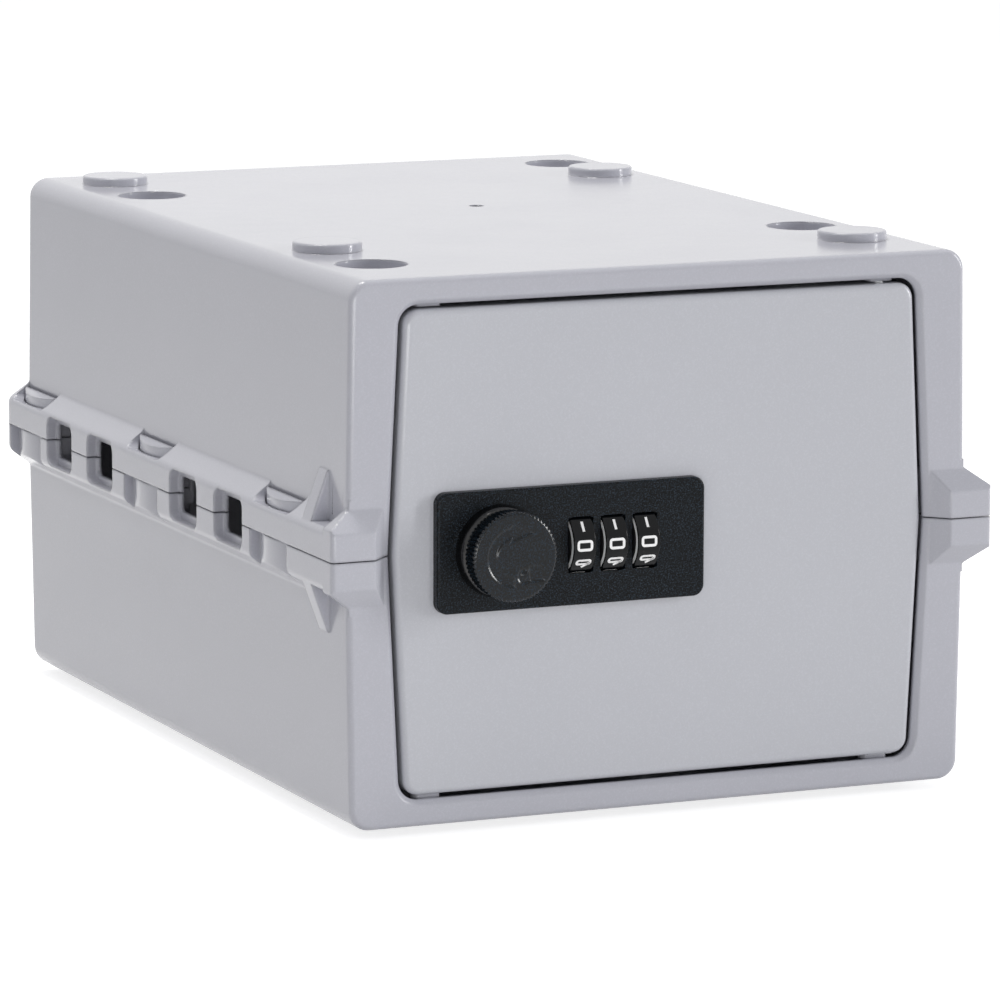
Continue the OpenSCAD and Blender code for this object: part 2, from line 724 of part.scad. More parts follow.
// Grip with straight knurling, and its shank inside the collar
module knob() {
    step = 360 / grip_n;
    color([0.13, 0.13, 0.14]) translate([knob_x, plate_y, zp]) rotate([90, 0, 0]) difference() {
        union() {
            intersection() {
                translate([0, 0, knob_h - grip_h]) linear_extrude(grip_h)
                    polygon([for (i = [0:2 * grip_n - 1])
                        let (r = i % 2 == 0 ? knob_r : knob_r - 0.5)
                            [r * cos(i * step / 2), r * sin(i * step / 2)]]);
                rotate_extrude() soft_poly([[0, 0], [knob_r - 0.3, 0],
                    [knob_r + 0.2, knob_h - grip_h + 0.5], [knob_r + 0.2, knob_h],
                    [0, knob_h]], [0, 0, 0, 0.7, 0]);
            }
            translate([0, 0, 0.3]) cylinder(r = 9, h = knob_h - grip_h);
        }
        translate([0, 0, -1]) cylinder(r = shaft_r + 0.04, h = 8);
    }
}

// Shaft with the lobe that moves the bar, a square for the latch and a threaded end
module spindle() {
    sq = 6;
    color([0.6, 0.6, 0.62]) translate([knob_x, 0, zp]) {
        translate([0, plate_y - 6.8, 0]) rotate([-90, 0, 0])
            cylinder(r = shaft_r, h = latch_y - plate_y + 6.7);
        translate([-sq / 2, latch_y - 1, -sq / 2]) cube([sq, latch_t + 1, sq]);
        translate([0, latch_y, 0]) rotate([-90, 0, 0]) cylinder(r = 2.9, h = latch_t + 6);
        translate([0, lobe_y + lobe_t, 0]) rotate([90, 0, 0]) linear_extrude(lobe_t)
            polygon([for (a = [-110:5:20]) (lobe_r + lobe_rate * min(a, 4)) * [cos(a), sin(a)],
                for (a = [40:20:230]) 4.6 * [cos(a), sin(a)]]);
    }
}

// Latch that swings behind the frame
module latch() {
    color([0.62, 0.62, 0.64]) translate([knob_x, latch_y, zp]) rotate([-90, 0, 0])
        linear_extrude(latch_t) difference() {
            union() {
                circle(9);
                translate([-latch_w / 2, -latch_len + 3]) square([latch_w, latch_len - 3]);
                soft_latch_end();
            }
            square(6.1, center = true);
        }
}

module soft_latch_end() {
    soft_rect(-latch_w / 2, -latch_len, latch_w / 2, -latch_len + 9, 3);
}

module latch_washer() {
    color([0.7, 0.7, 0.72]) translate([knob_x, latch_y + latch_t, zp]) rotate([-90, 0, 0])
        difference() {
            cylinder(r = 6, h = 0.9);
            translate([0, 0, -1]) cylinder(r = 2.95, h = 3);
        }
}

module latch_nut() {
    color([0.7, 0.7, 0.72]) translate([knob_x, latch_y + latch_t + 0.9, zp]) rotate([-90, 0, 0])
        difference() {
            cylinder(r = 5.6, h = 4, $fn = 6);
            translate([0, 0, -1]) cylinder(r = 2.95, h = 6);
        }
}

// Number wheel: a drum with ten flats
module dial(i) {
    flat = dial_r - 0.25;
    color([0.1, 0.1, 0.11]) translate([dial_x + i * dial_pitch, dial_y, zp])
        rotate([0, 90, 0]) difference() {
            intersection() {
                translate([0, 0, -dial_w / 2]) rotate_extrude()
                    soft_rect(dial_r - 4, 0, dial_r, dial_w, 0.5);
                rotate([0, 0, 90]) rotate([0, 0, 18])
                    cylinder(r = flat / cos(18), h = 2 * dial_w, center = true, $fn = 10);
            }
            cylinder(r = core_r + 0.05, h = 2 * dial_w, center = true);
        }
}

// Pale core of a wheel with the gated disc beside it
module dial_core(i) {
    color([0.85, 0.85, 0.83]) translate([dial_x + i * dial_pitch, dial_y, zp])
        rotate([0, 90, 0]) difference() {
            union() {
                translate([0, 0, -dial_w / 2]) cylinder(r = core_r, h = dial_w);
                translate([0, 0, gate_x]) cylinder(r = hub_r, h = dial_w);
                translate([0, 0, gate_x]) cylinder(r = gate_r, h = gate_t);
            }
            cylinder(r = axle_r + run_gap, h = 3 * dial_w, center = true);
            // gate
            translate([-2 - clear, hub_r + 0.2, gate_x - 1]) cube([4 + 2 * clear, 6, gate_t + 1.1]);
        }
}

module dial_1() {
    dial(-1);
}

module dial_2() {
    dial(0);
}

module dial_3() {
    dial(1);
}

module dial_core_1() {
    dial_core(-1);
}

module dial_core_2() {
    dial_core(0);
}

module dial_core_3() {
    dial_core(1);
}

module dial_axle() {
    color([0.7, 0.7, 0.72]) translate([bay_x + 0.3, dial_y, zp]) rotate([0, 90, 0])
        cylinder(r = axle_r, h = axle_end - bay_x - 0.3);
}

// Strip with a finger under each wheel
module detent_spring() {
    x0 = dial_x - dial_pitch - 3;
    x1 = dial_x + dial_pitch + 3;
    rise = case_hh - case_t - dial_r - clear;
    color([0.75, 0.75, 0.77]) translate([0, dial_y, zp - case_hh + case_t]) {
        translate([x0, 5, 0]) cube([x1 - x0, 4, 0.5]);
        for (i = [-1:1]) translate([dial_x + i * dial_pitch - 2, 0, 0])
            rotate([90, 0, 90]) linear_extrude(4)
            polygon([[5.5, 0], [5.5, 0.5], [0.3, rise], [-0.3, rise], [-1.9, 1.9],
                [-1.5, 1.7], [-0.2, rise - 0.5], [0.2, rise - 0.5], [5.2, 0]]);
    }
}

// Bar behind the wheels with a finger for each gated disc
module lock_bar() {
    color([0.65, 0.65, 0.67]) translate([0, 0, zp]) {
        translate([arm_x, bar_y, -4]) cube([bar_end - arm_x, bar_t, 8]);
        translate([arm_x, lobe_y, -3]) cube([arm_t, bar_y + 1 - lobe_y, 6]);
        translate([tip_x, lobe_y, -3]) cube([arm_x + 1 - tip_x, lobe_t, 6]);
        for (i = [-1:1])
            translate([dial_x + i * dial_pitch - dial_w / 2 - clear - finger_t,
                dial_y + hub_r + 0.5, -2])
                cube([finger_t, bar_y - dial_y - hub_r, 4]);
    }
}

function coil_point(t, turns, len, r) = [len * t, r * cos(360 * turns * t), r * sin(360 * turns * t)];

// Coil spring that returns the bar
module bar_spring() {
    turns = 5;
    steps = 60;
    sides = 6;
    wire = 0.3;
    len = case_x1 - case_t - bar_end - 2 * clear - 2 * wire;
    r = 2.4;
    rings = [for (k = [0:steps])
        let (p = coil_point(k / steps, turns, len, r), a = 360 * turns * k / steps)
        [for (j = [0:sides - 1]) let (b = 360 * j / sides)
            p + wire * [sin(b), cos(b) * cos(a), cos(b) * sin(a)]]];
    pts = [for (q = rings) each q];
    quads = [for (k = [0:steps - 1], j = [0:sides - 1]) let (j2 = (j + 1) % sides)
        [k * sides + j, k * sides + j2, (k + 1) * sides + j2, (k + 1) * sides + j]];
    tris = [for (q = quads) each [[q[0], q[1], q[2]], [q[0], q[2], q[3]]]];
    ends = [[for (j = [sides - 1:-1:0]) j], [for (j = [0:sides - 1]) steps * sides + j]];
    color([0.75, 0.75, 0.77]) translate([bar_end + clear + wire, bar_y - 0.6, zp])
        polyhedron(pts, concat(tris, ends));
}

// Slotted screw at the back that frees the cores for a new code
module reset_screw() {
    color([0.7, 0.7, 0.72]) translate([reset_x, case_back, zp + reset_z]) rotate([-90, 0, 0])
        difference() {
            union() {
                translate([0, 0, -case_t - 0.4]) cylinder(r = 1.5, h = case_t + 0.6);
                translate([0, 0, 0.2]) cylinder(r = 3.2, h = 1.4);
            }
            translate([-2.4, -0.4, 1]) cube([4.8, 0.8, 2]);
        }
}

upper_shell();
lower_shell();
hinge_pin_upper();
hinge_pin_lower();
door();
lock_plate();
lock_housing();
lock_screw_left();
lock_screw_right();
knob_collar();
knob();
spindle();
latch();
latch_washer();
latch_nut();
dial_1();
dial_2();
dial_3();
dial_core_1();
dial_core_2();
dial_core_3();
dial_axle();
detent_spring();
lock_bar();
bar_spring();
reset_screw();
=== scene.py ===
import json
import math

import bmesh
import bpy
import numpy as np
from mathutils import Matrix, Vector


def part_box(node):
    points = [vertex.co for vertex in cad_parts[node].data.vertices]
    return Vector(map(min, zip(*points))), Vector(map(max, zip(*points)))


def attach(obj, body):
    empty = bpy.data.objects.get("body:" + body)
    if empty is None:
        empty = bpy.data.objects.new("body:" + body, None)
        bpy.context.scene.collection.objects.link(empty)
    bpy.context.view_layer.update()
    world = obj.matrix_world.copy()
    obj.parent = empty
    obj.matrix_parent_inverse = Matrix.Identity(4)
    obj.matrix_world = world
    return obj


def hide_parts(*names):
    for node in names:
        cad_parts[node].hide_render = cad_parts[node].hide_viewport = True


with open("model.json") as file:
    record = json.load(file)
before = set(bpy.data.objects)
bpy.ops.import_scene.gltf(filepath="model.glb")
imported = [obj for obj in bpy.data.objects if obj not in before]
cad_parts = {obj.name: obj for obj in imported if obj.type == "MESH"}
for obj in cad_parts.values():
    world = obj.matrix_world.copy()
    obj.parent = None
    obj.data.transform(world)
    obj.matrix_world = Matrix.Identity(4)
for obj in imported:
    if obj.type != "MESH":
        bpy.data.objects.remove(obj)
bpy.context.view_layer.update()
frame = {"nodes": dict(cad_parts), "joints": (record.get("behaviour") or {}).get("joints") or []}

MM = 0.001
TAU = 2 * math.pi

# Places taken from the frame's own solids, in metres
plate_low, plate_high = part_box("lock_plate")
knob_low, knob_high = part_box("knob")
collar_low, collar_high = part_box("knob_collar")
MID_Z = (plate_low.z + plate_high.z) / 2
KNOB_X = (knob_low.x + knob_high.x) / 2
KNOB_R = (knob_high.x - knob_low.x) / 2
KNOB_FACE = knob_low.y
JOINT = {j["name"]: j for j in frame["joints"]}
AXLE = JOINT["wheel_1_turn"]["pos_m"]

# Radius about the wheels' axis within which a wheel's pale core is painted black, as painted shade
# on its side face, and the width of the soft border
CORE_SHADE_RADIUS, CORE_SHADE_BORDER = 7.8 * MM, 0.15 * MM


# Camera, light and floor

CAMERA_PLACE = (-0.800004, -1.860445, 0.417564)
CAMERA_RIGHT = Vector((0.91748457, -0.39776178, 0.0027638))
CAMERA_DOWN = Vector((-0.06341009, -0.15311517, -0.98617184))
CAMERA_AHEAD = Vector((0.39268465, 0.90462219, -0.16570291))
LENS_MM, SENSOR_MM = 223.111, 36.0


def place_camera():
    """The camera of the fit to the box's straight edges: its directions to the right, down and
    ahead are the columns of its turn."""
    data = bpy.data.cameras.new("studio_camera")
    data.sensor_width = SENSOR_MM
    data.lens = LENS_MM
    data.clip_end = 20.0
    camera = bpy.data.objects.new("studio_camera", data)
    turn = Matrix((CAMERA_RIGHT, -CAMERA_DOWN, -CAMERA_AHEAD)).transposed().to_4x4()
    camera.matrix_world = Matrix.Translation(CAMERA_PLACE) @ turn
    bpy.context.collection.objects.link(camera)
    bpy.context.scene.camera = camera


# The middle of the box and the foot of its front
MIDDLE, FRONT_FOOT = (0.0, 0.0, 0.09), (-0.04, -0.15, 0.03)

# Lamps: name, place, the point that it faces, width, height, power and tint
LAMPS = [
    ("lamp_above", (-0.20, 0.22, 1.42), MIDDLE, 0.42, 0.42, 11.3, (1.0, 0.985, 0.955)),
    ("lamp_left", (-0.75, -1.75, 1.25), MIDDLE, 0.6, 0.5, 0.8, (1.0, 1.0, 1.0)),
    ("lamp_low", (-0.32, -1.10, 0.08), FRONT_FOOT, 0.8, 0.14, 2.6, (1.0, 1.0, 1.0)),
    ("lamp_right", (2.95, -1.65, 0.75), MIDDLE, 0.40, 1.6, 56.0, (1.0, 1.0, 1.0)),
    ("lamp_spark", (-0.98, 0.17, 1.36), MIDDLE, 0.16, 0.16, 1.3, (1.0, 1.0, 1.0)),
]
ROOM_TINT, ROOM_LEVEL = (0.955, 0.96, 1.0, 1.0), 0.33
WHITE = (1.0, 1.0, 1.0, 1.0)


def soft_light(name, place, target, width, height, power, tint):
    """A rectangular lamp at a place, facing a target."""
    data = bpy.data.lights.new(name, "AREA")
    data.shape = "RECTANGLE"
    data.size, data.size_y = width, height
    data.energy = power
    data.color = tint
    lamp = bpy.data.objects.new(name, data)
    lamp.location = place
    aim = Vector(target) - Vector(place)
    lamp.rotation_euler = aim.to_track_quat("-Z", "Y").to_euler()
    bpy.context.collection.objects.link(lamp)


def seen_white(tree):
    """1 for a ray from the camera and for one that left gloss or glass, otherwise 0."""
    path = tree.nodes.new("ShaderNodeLightPath")
    value = path.outputs["Is Camera Ray"]
    for other in ("Is Glossy Ray", "Is Transmission Ray"):
        both = tree.nodes.new("ShaderNodeMath")
        both.operation = "MAXIMUM"
        tree.links.new(value, both.inputs[0])
        tree.links.new(path.outputs[other], both.inputs[1])
        value = both.outputs[0]
    return value


def light_room():
    """Even surroundings that the camera, gloss and glass see as white, and the lamps: one above,
    two before the box, a tall one on the right and a small one at the upper left, which draw the
    bright lines on rims and edges."""
    world = bpy.data.worlds.new("studio_room")
    bpy.context.scene.world = world
    world.use_nodes = True
    tree = world.node_tree
    tree.nodes.clear()
    out = tree.nodes.new("ShaderNodeOutputWorld")
    mix = tree.nodes.new("ShaderNodeMixShader")
    room = tree.nodes.new("ShaderNodeBackground")
    room.inputs["Color"].default_value = ROOM_TINT
    room.inputs["Strength"].default_value = ROOM_LEVEL
    white = tree.nodes.new("ShaderNodeBackground")
    white.inputs["Color"].default_value = WHITE
    white.inputs["Strength"].default_value = 1.0
    link = tree.links.new
    link(seen_white(tree), mix.inputs["Fac"])
    link(room.outputs[0], mix.inputs[1])
    link(white.outputs[0], mix.inputs[2])
    link(mix.outputs[0], out.inputs["Surface"])
    for lamp in LAMPS:
        soft_light(*lamp)


FLOOR_REACH, FLOOR_DROP = 6.0, 0.0003
FLOOR_PAPER, FLOOR_GLOW = 0.70, 0.75


def lay_floor():
    """A wide pale ground plate whose colour the camera sees as white away from the shadow."""
    corners = [(x * FLOOR_REACH, y * FLOOR_REACH, -FLOOR_DROP)
               for x, y in ((-1, -1), (1, -1), (1, 1), (-1, 1))]
    mesh = bpy.data.meshes.new("studio_floor")
    mesh.from_pydata(corners, [], [(0, 1, 2, 3)])
    floor = bpy.data.objects.new("studio_floor", mesh)
    bpy.context.collection.objects.link(floor)
    mat = bpy.data.materials.new("floor_white")
    mat.use_nodes = True
    tree = mat.node_tree
    tree.nodes.clear()
    out = tree.nodes.new("ShaderNodeOutputMaterial")
    paper = tree.nodes.new("ShaderNodeBsdfDiffuse")
    paper.inputs["Color"].default_value = (FLOOR_PAPER, FLOOR_PAPER, FLOOR_PAPER, 1.0)
    glow = tree.nodes.new("ShaderNodeEmission")
    glow.inputs["Color"].default_value = WHITE
    glow.inputs["Strength"].default_value = FLOOR_GLOW
    dark = tree.nodes.new("ShaderNodeEmission")
    dark.inputs["Strength"].default_value = 0.0
    gate = tree.nodes.new("ShaderNodeMixShader")
    add = tree.nodes.new("ShaderNodeAddShader")
    link = tree.links.new
    link(seen_white(tree), gate.inputs["Fac"])
    link(dark.outputs[0], gate.inputs[1])
    link(glow.outputs[0], gate.inputs[2])
    link(paper.outputs[0], add.inputs[0])
    link(gate.outputs[0], add.inputs[1])
    link(add.outputs[0], out.inputs["Surface"])
    mesh.materials.append(mat)


# Finishes

# Cells per metre of the patterns: clouds of colour, the melt's flow, the waves of a moulded face,
# clouds of plating and drawn lines. Depth of the waves in metres.
CLOUDS, FLOW, WAVES, PLATING, DRAWN = 14.0, 34.0, 22.0, 160.0, 2600.0
WAVE_DEPTH = 0.06 * MM


def new_finish(name):
    """An empty material with its shader: returns the material, the node tree and the shader."""
    mat = bpy.data.materials.new(name)
    mat.use_nodes = True
    tree = mat.node_tree
    tree.nodes.clear()
    out = tree.nodes.new("ShaderNodeOutputMaterial")
    skin = tree.nodes.new("ShaderNodeBsdfPrincipled")
    tree.links.new(skin.outputs["BSDF"], out.inputs["Surface"])
    return mat, tree, skin


def noise(tree, scale, detail=3.0, rough=0.55, stretch=(1, 1, 1)):
    """A noise pattern on the piece's own coordinates, its cells 1/scale metres across."""
    place = tree.nodes.new("ShaderNodeTexCoord")
    turn = tree.nodes.new("ShaderNodeMapping")
    turn.inputs["Scale"].default_value = stretch
    tree.links.new(place.outputs["Object"], turn.inputs["Vector"])
    tex = tree.nodes.new("ShaderNodeTexNoise")
    tex.inputs["Scale"].default_value = scale
    tex.inputs["Detail"].default_value = detail
    tex.inputs["Roughness"].default_value = rough
    tree.links.new(turn.outputs["Vector"], tex.inputs["Vector"])
    return tex.outputs["Fac"]


def spread(tree, value, low, high, reach=0.25):
    """Maps a pattern's values within reach of its middle to values from low to high."""
    node = tree.nodes.new("ShaderNodeMapRange")
    node.inputs["From Min"].default_value = 0.5 - reach
    node.inputs["From Max"].default_value = 0.5 + reach
    node.inputs["To Min"].default_value = low
    node.inputs["To Max"].default_value = high
    tree.links.new(value, node.inputs["Value"])
    return node.outputs["Result"]


def blend_colours(tree, fac, first, second):
    """A colour between two, by a pattern from 0 to 1."""
    node = tree.nodes.new("ShaderNodeMix")
    node.data_type = "RGBA"
    node.inputs["A"].default_value = (*first, 1.0)
    node.inputs["B"].default_value = (*second, 1.0)
    tree.links.new(fac, node.inputs["Factor"])
    return node.outputs["Result"]


def bump(tree, height, depth, below=None):
    """Turns a pattern into relief, its full range depth metres high."""
    node = tree.nodes.new("ShaderNodeBump")
    node.inputs["Strength"].default_value = 1.0
    node.inputs["Distance"].default_value = depth
    tree.links.new(height, node.inputs["Height"])
    if below is not None:
        tree.links.new(below, node.inputs["Normal"])
    return node.outputs["Normal"]


def softened_edges(tree, radius):
    """Normals rounded over edges, as a mould leaves them."""
    node = tree.nodes.new("ShaderNodeBevel")
    node.samples = 6
    node.inputs["Radius"].default_value = radius
    return node.outputs["Normal"]


def moulded_plastic(name, colour, rough, grain, depth, edge, speck=0.02, gloss=0.5):
    """Moulded plastic: an even colour with faint clouds and the specks of its grain, roughness that
    drifts with the flow of the melt from the first of rough to the second, a spark-eroded relief of
    a depth in metres, and edges with the mould's radius."""
    mat, tree, skin = new_finish(name)
    clouds = spread(tree, noise(tree, CLOUDS, 4.0), 0.0, 1.0)
    pale = tuple(min(1.0, c * 1.012) for c in colour)
    dull = tuple(c * 0.988 for c in colour)
    cells = noise(tree, grain, 3.0, 0.62)
    tint = tree.nodes.new("ShaderNodeMix")
    tint.data_type = "RGBA"
    tint.blend_type = "MULTIPLY"
    tint.inputs["Factor"].default_value = 1.0
    tree.links.new(blend_colours(tree, clouds, dull, pale), tint.inputs["A"])
    grains = spread(tree, cells, 0.0, 1.0, 0.13)
    sparks = tree.nodes.new("ShaderNodeMath")
    sparks.operation = "POWER"
    tree.links.new(grains, sparks.inputs[0])
    sparks.inputs[1].default_value = 3.0
    specks = blend_colours(tree, sparks.outputs[0], (1 - speck,) * 3, (1 + 6 * speck,) * 3)
    tree.links.new(specks, tint.inputs["B"])
    tree.links.new(tint.outputs["Result"], skin.inputs["Base Color"])
    flow = spread(tree, noise(tree, FLOW, 5.0, 0.6, (1, 1, 1.8)), *rough)
    tree.links.new(flow, skin.inputs["Roughness"])
    rounded = softened_edges(tree, edge)
    waves = bump(tree, noise(tree, WAVES, 2.0), WAVE_DEPTH, rounded)
    tree.links.new(bump(tree, grains, depth, waves), skin.inputs["Normal"])
    skin.inputs["Specular IOR Level"].default_value = gloss
    return mat


def core_plastic():
    """The pale plastic of the wheels' cores. Within a radius about the wheels' axis it is painted
    black: painted shade on the inner part of the core's side face, so that only a thin pale
    crescent of it shows."""
    mat = moulded_plastic("core_plastic", (0.92, 0.93, 0.92), (0.35, 0.5),
                          grain=2400.0, depth=0.004 * MM, edge=0.2 * MM)
    tree = mat.node_tree
    skin = next(n for n in tree.nodes if n.type == "BSDF_PRINCIPLED")
    pale = skin.inputs["Base Color"].links[0].from_socket
    place = tree.nodes.new("ShaderNodeTexCoord").outputs["Object"]
    apart = tree.nodes.new("ShaderNodeVectorMath")
    apart.operation = "MULTIPLY_ADD"
    tree.links.new(place, apart.inputs[0])
    apart.inputs[1].default_value = (0, 1, 1)
    apart.inputs[2].default_value = (0, -AXLE[1], -AXLE[2])
    radius = tree.nodes.new("ShaderNodeVectorMath")
    radius.operation = "LENGTH"
    tree.links.new(apart.outputs["Vector"], radius.inputs[0])
    ring = tree.nodes.new("ShaderNodeMapRange")
    ring.inputs["From Min"].default_value = CORE_SHADE_RADIUS
    ring.inputs["From Max"].default_value = CORE_SHADE_RADIUS + CORE_SHADE_BORDER
    tree.links.new(radius.outputs["Value"], ring.inputs["Value"])
    # painted shade: black within the radius, the core's own pale colour outside it
    mixed = blend_colours(tree, ring.outputs["Result"], (0.012, 0.012, 0.013), (1.0, 1.0, 1.0))
    tree.links.new(pale, mixed.node.inputs["B"])
    tree.links.new(mixed, skin.inputs["Base Color"])
    return mat


def plated_steel(name, colour, rough, stretch):
    """Zinc-plated or drawn steel: metal with fine drawn lines and cloudy plating."""
    mat, tree, skin = new_finish(name)
    skin.inputs["Metallic"].default_value = 1.0
    clouds = spread(tree, noise(tree, PLATING, 4.0), 0.0, 1.0)
    pale = tuple(min(1.0, c * 1.08) for c in colour)
    dull = tuple(c * 0.88 for c in colour)
    tree.links.new(blend_colours(tree, clouds, dull, pale), skin.inputs["Base Color"])
    lines = noise(tree, DRAWN, 3.0, 0.6, stretch)
    tree.links.new(spread(tree, lines, *rough), skin.inputs["Roughness"])
    edges = softened_edges(tree, 0.15 * MM)
    tree.links.new(bump(tree, lines, 0.012 * MM, edges), skin.inputs["Normal"])
    return mat


def enamel_white(name):
    """Printed white figures: slightly raised ink of an uneven white with a fine relief."""
    mat, tree, skin = new_finish(name)
    clouds = spread(tree, noise(tree, 900.0, 3.0), 0.0, 1.0)
    ink = blend_colours(tree, clouds, (0.90, 0.90, 0.89), (0.96, 0.96, 0.96))
    tree.links.new(ink, skin.inputs["Base Color"])
    skin.inputs["Roughness"].default_value = 0.42
    tree.links.new(bump(tree, noise(tree, 4000.0, 2.0), 0.01 * MM), skin.inputs["Normal"])
    return mat


SHELL = moulded_plastic("shell_plastic", (0.472, 0.475, 0.524), (0.15, 0.22),
                        grain=1900.0, depth=0.003 * MM, edge=1.3 * MM, speck=0.009)
DOOR = moulded_plastic("door_plastic", (0.512, 0.520, 0.559), (0.15, 0.22),
                       grain=1900.0, depth=0.003 * MM, edge=0.8 * MM, speck=0.009)
PLATE = moulded_plastic("plate_plastic", (0.0036, 0.0053, 0.0074), (0.24, 0.32),
                        grain=2100.0, depth=0.03 * MM, edge=0.3 * MM, speck=0.95, gloss=0.13)
HOUSING = moulded_plastic("housing_plastic", (0.0060, 0.0065, 0.0080), (0.42, 0.55),
                          grain=1800.0, depth=0.02 * MM, edge=0.3 * MM, speck=0.15, gloss=0.25)
KNOB = moulded_plastic("knob_plastic", (0.0016, 0.0034, 0.0056), (0.13, 0.17),
                       grain=2000.0, depth=0.005 * MM, edge=0.2 * MM, speck=0.95, gloss=0.28)
COLLAR = moulded_plastic("collar_plastic", (0.0016, 0.0018, 0.0022), (0.12, 0.17),
                         grain=3000.0, depth=0.001 * MM, edge=0.2 * MM, speck=0.1)
WHEEL = moulded_plastic("wheel_plastic", (0.0022, 0.0026, 0.0034), (0.14, 0.20),
                        grain=2400.0, depth=0.003 * MM, edge=0.2 * MM, speck=0.12, gloss=0.2)
CORE = core_plastic()
STEEL = plated_steel("zinc_steel", (0.60, 0.61, 0.62), (0.24, 0.42), (1, 6, 1))
SPRING = plated_steel("spring_steel", (0.50, 0.50, 0.52), (0.2, 0.34), (6, 1, 1))
INK = enamel_white("figure_ink")


# Surfaces

# Faces that meet at more than this are shaded apart: in a new piece, and in a skin of a solid
SHARP, CREASE = math.radians(38), math.radians(28)
# Weight of broad faces over narrow ones when a skin's directions are averaged
BROAD = 60


def shown(name, mesh, body, material):
    """Links a mesh as a piece that rides on a body and takes its finish from a slot."""
    mesh.materials.clear()
    mesh.materials.append(material)
    piece = bpy.data.objects.new(name, mesh)
    bpy.context.collection.objects.link(piece)
    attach(piece, body)
    return piece


def solid_skin(node, body, material):
    """The node's own solid with its corners joined: faces that meet at less than the crease are
    shaded as one surface, and broad faces keep their own direction."""
    mesh = frame["nodes"][node].data.copy()
    for spare in [a.name for a in mesh.attributes if a.name == "custom_normal"]:
        mesh.attributes.remove(mesh.attributes[spare])
    work = bmesh.new()
    work.from_mesh(mesh)
    bmesh.ops.remove_doubles(work, verts=work.verts, dist=1e-6)
    work.to_mesh(mesh)
    work.free()
    mesh.polygons.foreach_set("use_smooth", np.ones(len(mesh.polygons), bool))
    mesh.set_sharp_from_angle(angle=CREASE)
    mesh.name = node + "_skin"
    piece = shown(node + "_skin", mesh, body, material)
    firm = piece.modifiers.new("broad_faces", "WEIGHTED_NORMAL")
    firm.mode = "FACE_AREA"
    firm.keep_sharp = True
    firm.weight = BROAD
    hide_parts(node)


def grid_faces(rows, cols, wrap_rows, wrap_cols):
    """Four-cornered faces of a grid of points, closed round either way if asked."""
    r = np.arange(rows if wrap_rows else rows - 1)
    c = np.arange(cols if wrap_cols else cols - 1)
    i, j = np.meshgrid(r, c, indexing="ij")
    i2, j2 = (i + 1) % rows, (j + 1) % cols
    return np.stack([i * cols + j, i2 * cols + j, i2 * cols + j2, i * cols + j2], -1).reshape(-1, 4)


def outward(points, faces):
    """Turns the faces over if the volume that they enclose comes out negative."""
    a, b, c, d = (points[faces[:, k]] for k in range(4))
    volume = (a * (np.cross(b, c) + np.cross(c, d))).sum()
    return faces[:, ::-1] if volume < 0 else faces


def tube_mesh(name, rings):
    """A closed surface from rings of points carried along a path, both ends capped by a fan of
    faces to the middle of the ring."""
    n, m, _ = rings.shape
    first = np.repeat(rings[:1].mean(1, keepdims=True), m, 1)
    last = np.repeat(rings[-1:].mean(1, keepdims=True), m, 1)
    full = np.concatenate([first, rings, last])
    points = full.reshape(-1, 3)
    faces = outward(points, grid_faces(n + 2, m, False, True))
    return closed_mesh(name, points, faces)


def closed_mesh(name, points, faces):
    """Puts points and faces in a mesh and joins what coincides."""
    mesh = bpy.data.meshes.new(name)
    mesh.from_pydata(points.tolist(), [], faces.tolist())
    work = bmesh.new()
    work.from_mesh(mesh)
    bmesh.ops.remove_doubles(work, verts=work.verts, dist=1e-7)
    bmesh.ops.dissolve_degenerate(work, edges=work.edges, dist=1e-8)
    work.to_mesh(mesh)
    work.free()
    mesh.polygons.foreach_set("use_smooth", np.ones(len(mesh.polygons), bool))
    mesh.set_sharp_from_angle(angle=SHARP)
    mesh.update()
    return mesh


def join_meshes(name, parts):
    """One mesh from several."""
    work = bmesh.new()
    for part in parts:
        work.from_mesh(part)
        bpy.data.meshes.remove(part)
    mesh = bpy.data.meshes.new(name)
    work.to_mesh(mesh)
    work.free()
    mesh.set_sharp_from_angle(angle=SHARP)
    return mesh


def spun(profile, count, ripple=None):
    """A profile of (radius, depth) pairs turned round the knob's axis; ripple gives the length by
    which the radius changes at each angle and station."""
    angle = np.arange(count) / count * TAU
    radius, depth = profile[:, 0][:, None], profile[:, 1][:, None]
    radius = np.repeat(radius, count, 1)
    if ripple is not None:
        radius = radius + ripple(angle[None, :], np.arange(len(profile))[:, None])
    x = KNOB_X + radius * np.cos(angle)[None, :]
    z = MID_Z + radius * np.sin(angle)[None, :]
    y = np.repeat(depth, count, 1)
    return np.stack([x, y, z], -1)


def rounded_line(points, radius, closed=False, steps=7):
    """A line through points whose corners are arcs: each corner point gives way to samples of a
    quadratic arc that starts and ends at the given distance from it."""
    pts = np.asarray(points, float)
    n = len(pts)
    out = []
    for k in range(n):
        here, before, after = pts[k], pts[(k - 1) % n], pts[(k + 1) % n]
        if not closed and k in (0, n - 1):
            out.append(here[None])
            continue
        to_b, to_a = before - here, after - here
        cut = min(radius, np.linalg.norm(to_b) * 0.49, np.linalg.norm(to_a) * 0.49)
        p = here + to_b / np.linalg.norm(to_b) * cut
        q = here + to_a / np.linalg.norm(to_a) * cut
        t = np.linspace(0, 1, steps)[:, None]
        out.append((1 - t) ** 2 * p + 2 * (1 - t) * t * here + t ** 2 * q)
    return np.concatenate(out)


